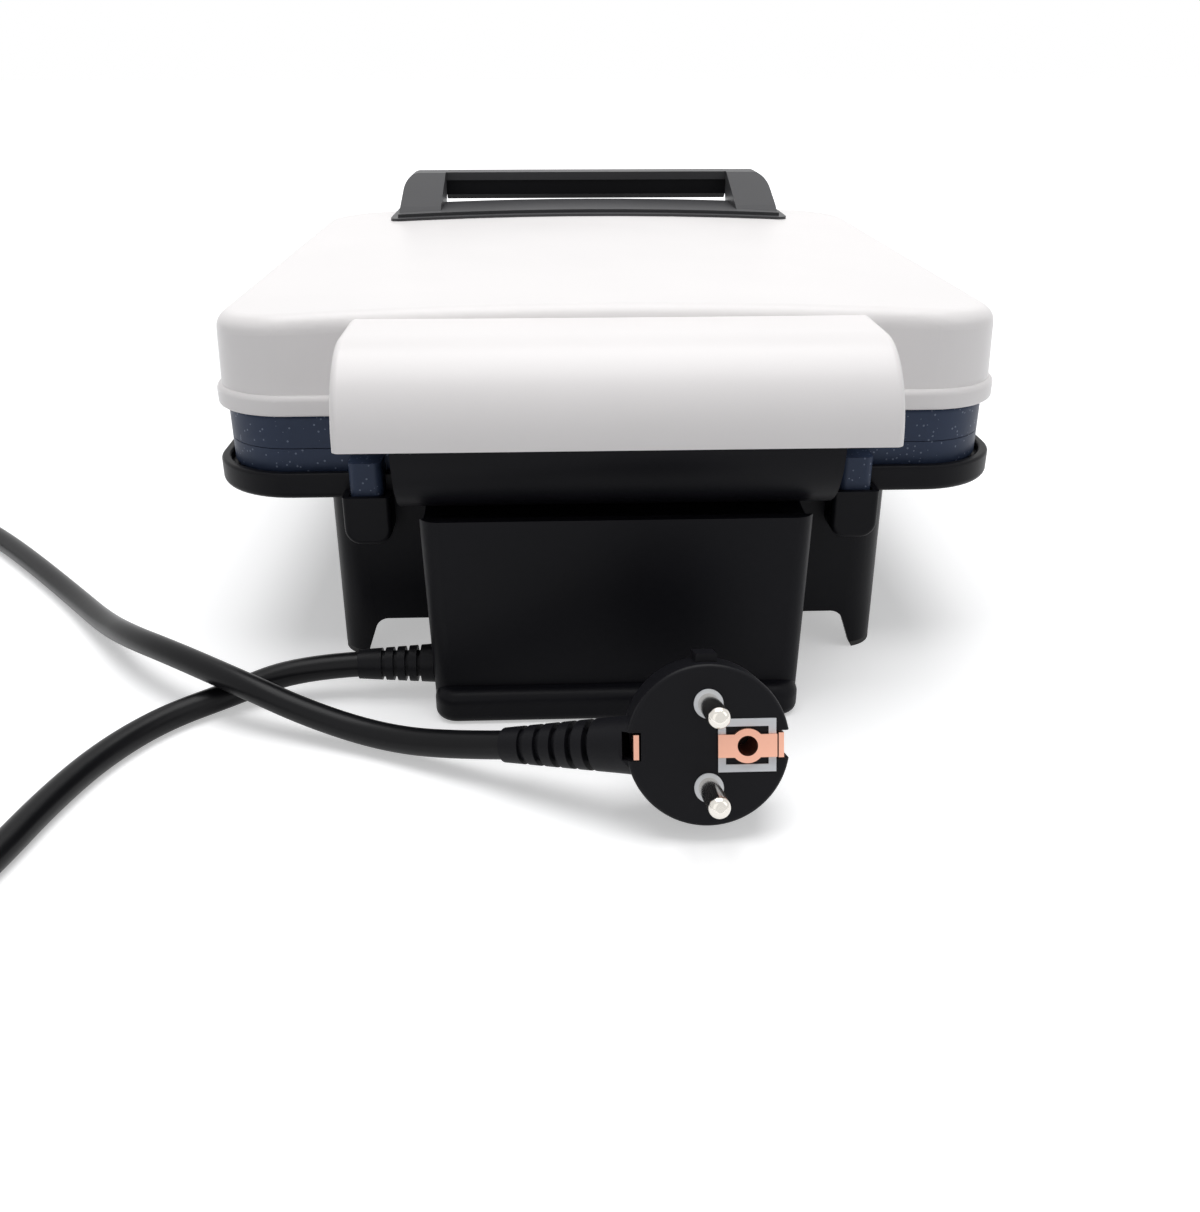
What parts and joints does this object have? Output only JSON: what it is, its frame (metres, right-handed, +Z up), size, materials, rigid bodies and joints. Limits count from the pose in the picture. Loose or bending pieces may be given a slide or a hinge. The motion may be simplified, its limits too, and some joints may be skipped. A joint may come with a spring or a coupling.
{
  "type": "double waffle maker",
  "caption": "Countertop double waffle maker with a white hinged lid and hinge cover, lift-out coated waffle plates, a black base on legs with a rear hinge tower, a raised handle and mains lead.",
  "frame": {"origin": "on the table, under the middle of the appliance, measured without the lead and plug", "axes": "+Z up, -Y towards the handle and latch, +Y towards the hinge and the lead, +X to the side the lead leaves"},
  "size_m": [0.4138, 0.4133, 0.1136],
  "materials": {
    "white_shell": "satin white moulding",
    "black_shell": "satin black moulding",
    "handle_grey": "dark grey moulding",
    "grip_black": "black moulding",
    "blue_coating": "slate blue speckled non-stick coating on cast aluminium",
    "element_steel": "heat-tinted steel tube",
    "steel": "bright steel",
    "button_grey": "dark grey moulding",
    "lens": "tinted lens",
    "lamp_glass": "neon lamp",
    "wire": "glass-fibre insulated wire",
    "foot_rubber": "rubber",
    "sleeve_white": "glass-fibre sleeve",
    "nylon_white": "nylon",
    "cord_black": "glossy black PVC",
    "plated_pin": "nickel-plated brass",
    "collar_grey": "pale grey plastic",
    "copper": "copper strip"
  },
  "bodies": {
    "base": {"base_shell": "black_shell", "plate_tray": "black_shell", "hinge_tower": "black_shell", "base_legs": "black_shell", "bottom_cover": "black_shell", "leg_pads": "foot_rubber", "hinge_pins": "steel", "bottom_screws": "steel", "thermostat": "steel", "thermal_fuse": "sleeve_white", "terminal_block": "nylon_white", "base_wiring": "wire", "lower_plate": "blue_coating", "lower_element": "element_steel", "lower_pan": "steel", "cord_bush": "cord_black", "cord_lead": "cord_black", "plug_body": "cord_black", "plug_relief": "cord_black", "plug_contacts": "plated_pin", "plug_collars": "collar_grey", "plug_earth_clips": "copper", "plug_earth_socket": "copper"},
    "lid": {"lid_shell": "white_shell", "hinge_cover": "white_shell", "hinge_arms": "black_shell", "handle_frame": "handle_grey", "handle_grip": "grip_black", "latch_ears": "black_shell", "latch_pin": "steel", "upper_plate": "blue_coating", "lid_frame": "steel", "upper_element": "element_steel", "upper_pan": "steel", "lamp_lenses": "lens", "lamp_holders": "lamp_glass", "lid_wiring": "wire"},
    "latch": {"latch": "handle_grey"},
    "upper_release": {"upper_release": "button_grey"},
    "lower_release": {"lower_release": "button_grey"}
  },
  "joints": [
    {"name": "lid_hinge", "type": "hinge", "parent": "base", "child": "lid", "pos_m": [0, 0.1185, 0.075], "axis": [-1, 0, 0], "range_deg": [0, 100]},
    {"name": "latch_hinge", "type": "hinge", "parent": "lid", "child": "latch", "pos_m": [0, -0.13, 0.088], "axis": [-1, 0, 0], "range_deg": [0, 30]},
    {"name": "upper_release_slide", "type": "slide", "parent": "lid", "child": "upper_release", "axis": [0, 1, 0], "range_m": [0, 0.0035], "stiffness_N_per_m": 600, "springref_m": -0.002},
    {"name": "lower_release_slide", "type": "slide", "parent": "base", "child": "lower_release", "axis": [0, 1, 0], "range_m": [0, 0.0035], "stiffness_N_per_m": 600, "springref_m": -0.002}
  ]
}
